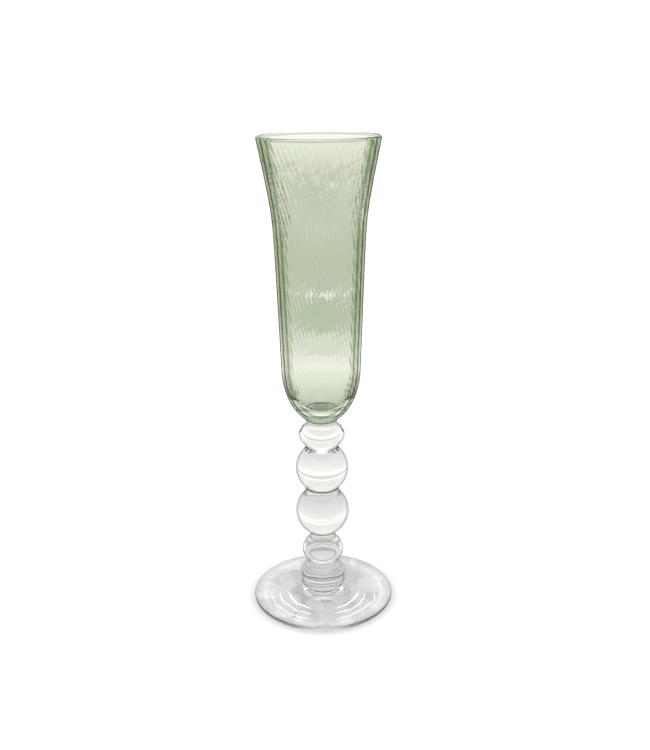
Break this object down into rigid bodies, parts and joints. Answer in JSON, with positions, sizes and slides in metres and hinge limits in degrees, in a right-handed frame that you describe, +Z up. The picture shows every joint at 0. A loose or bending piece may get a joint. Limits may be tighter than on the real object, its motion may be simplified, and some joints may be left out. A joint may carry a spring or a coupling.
{
  "type": "champagne flute",
  "caption": "Hand-made champagne flute: slim pale green bowl with swirled optic ribs and a flared rim, on a clear stem of fused round knops and a wide clear disc foot.",
  "frame": {"origin": "centre of the ring on the underside of the foot that the glass stands on", "axes": "+Z up along the glass's axis of revolution, from the foot to the rim; X and Y are level and equivalent"},
  "size_m": [0.0798, 0.0798, 0.26],
  "materials": {
    "green_bowl_glass": "polished pale green transparent glass with shallow swirled optic ribs",
    "clear_stem_glass": "polished solid clear glass",
    "clear_foot_glass": "polished clear glass disc with a rounded edge"
  },
  "bodies": {
    "root": {"foot": "clear_foot_glass", "base_collar": "clear_stem_glass", "stem_ring": "clear_stem_glass", "lower_small_knop": "clear_stem_glass", "lower_ball_knop": "clear_stem_glass", "waist_ring": "clear_stem_glass", "upper_ball_knop": "clear_stem_glass", "upper_small_knop": "clear_stem_glass", "merese": "clear_stem_glass", "bowl": "green_bowl_glass"}
  },
  "joints": []
}
